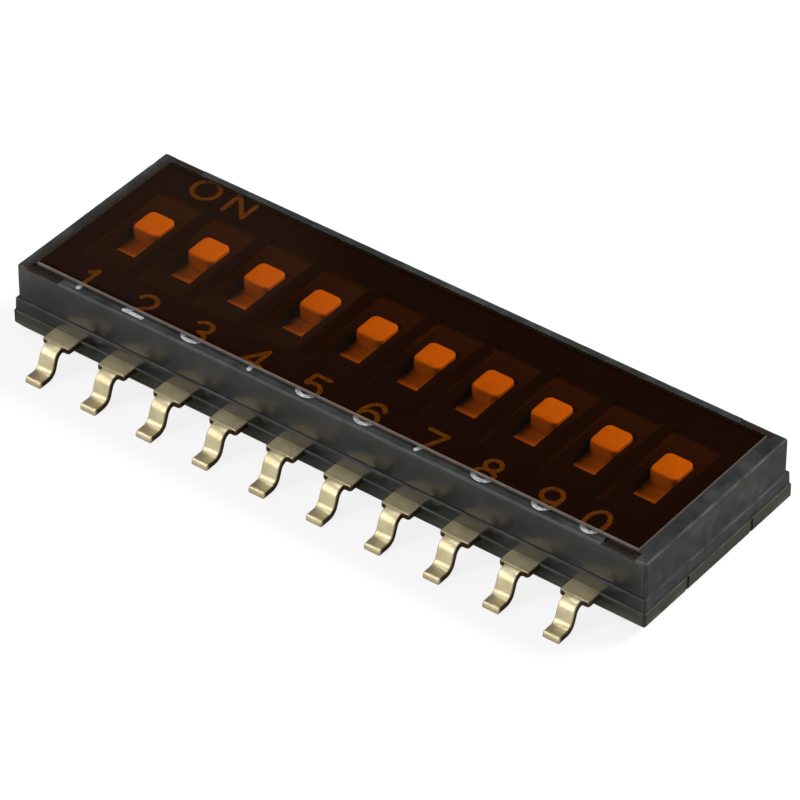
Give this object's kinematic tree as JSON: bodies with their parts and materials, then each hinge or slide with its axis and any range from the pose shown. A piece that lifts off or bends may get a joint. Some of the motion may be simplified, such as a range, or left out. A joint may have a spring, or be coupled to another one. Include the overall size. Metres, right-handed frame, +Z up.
{
  "type": "dip switch",
  "caption": "Low, half-pitch slide dip switch for surface mounting: black moulded body, white slides under an amber sealing film, gold gull-wing leads.",
  "frame": {"origin": "middle of the switch on the solder plane, the underside of the lead feet", "axes": "+X along the row of poles, +Y to the on side, +Z up from the board"},
  "size_m": [0.014, 0.0064, 0.0016],
  "materials": {
    "housing_black": "black glass-filled moulding, semi-gloss",
    "amber_film": "amber polyimide film, glossy, see-through",
    "slide_white": "white moulded slide, satin",
    "lead_gold": "pale gold plate on stamped copper alloy",
    "contact_gold": "gold plate on spring bronze"
  },
  "bodies": {
    "housing": {"base": "housing_black", "cover": "housing_black", "seal_tape": "amber_film", "front_lead_01": "lead_gold", "front_lead_02": "lead_gold", "front_lead_03": "lead_gold", "front_lead_04": "lead_gold", "front_lead_05": "lead_gold", "front_lead_06": "lead_gold", "front_lead_07": "lead_gold", "front_lead_08": "lead_gold", "front_lead_09": "lead_gold", "front_lead_10": "lead_gold", "back_lead_01": "lead_gold", "back_lead_02": "lead_gold", "back_lead_03": "lead_gold", "back_lead_04": "lead_gold", "back_lead_05": "lead_gold", "back_lead_06": "lead_gold", "back_lead_07": "lead_gold", "back_lead_08": "lead_gold", "back_lead_09": "lead_gold", "back_lead_10": "lead_gold"},
    "slide_01": {"slider_01": "slide_white", "wiper_01": "contact_gold"},
    "slide_02": {"slider_02": "slide_white", "wiper_02": "contact_gold"},
    "slide_03": {"slider_03": "slide_white", "wiper_03": "contact_gold"},
    "slide_04": {"slider_04": "slide_white", "wiper_04": "contact_gold"},
    "slide_05": {"slider_05": "slide_white", "wiper_05": "contact_gold"},
    "slide_06": {"slider_06": "slide_white", "wiper_06": "contact_gold"},
    "slide_07": {"slider_07": "slide_white", "wiper_07": "contact_gold"},
    "slide_08": {"slider_08": "slide_white", "wiper_08": "contact_gold"},
    "slide_09": {"slider_09": "slide_white", "wiper_09": "contact_gold"},
    "slide_10": {"slider_10": "slide_white", "wiper_10": "contact_gold"}
  },
  "joints": [
    {"name": "slide_01_travel", "type": "slide", "parent": "housing", "child": "slide_01", "axis": [0, 1, 0], "range_m": [-0.00062, 0]},
    {"name": "slide_02_travel", "type": "slide", "parent": "housing", "child": "slide_02", "axis": [0, 1, 0], "range_m": [-0.00062, 0]},
    {"name": "slide_03_travel", "type": "slide", "parent": "housing", "child": "slide_03", "axis": [0, 1, 0], "range_m": [-0.00062, 0]},
    {"name": "slide_04_travel", "type": "slide", "parent": "housing", "child": "slide_04", "axis": [0, 1, 0], "range_m": [-0.00062, 0]},
    {"name": "slide_05_travel", "type": "slide", "parent": "housing", "child": "slide_05", "axis": [0, 1, 0], "range_m": [-0.00062, 0]},
    {"name": "slide_06_travel", "type": "slide", "parent": "housing", "child": "slide_06", "axis": [0, 1, 0], "range_m": [-0.00062, 0]},
    {"name": "slide_07_travel", "type": "slide", "parent": "housing", "child": "slide_07", "axis": [0, 1, 0], "range_m": [-0.00062, 0]},
    {"name": "slide_08_travel", "type": "slide", "parent": "housing", "child": "slide_08", "axis": [0, 1, 0], "range_m": [-0.00062, 0]},
    {"name": "slide_09_travel", "type": "slide", "parent": "housing", "child": "slide_09", "axis": [0, 1, 0], "range_m": [-0.00062, 0]},
    {"name": "slide_10_travel", "type": "slide", "parent": "housing", "child": "slide_10", "axis": [0, 1, 0], "range_m": [-0.00062, 0]}
  ]
}
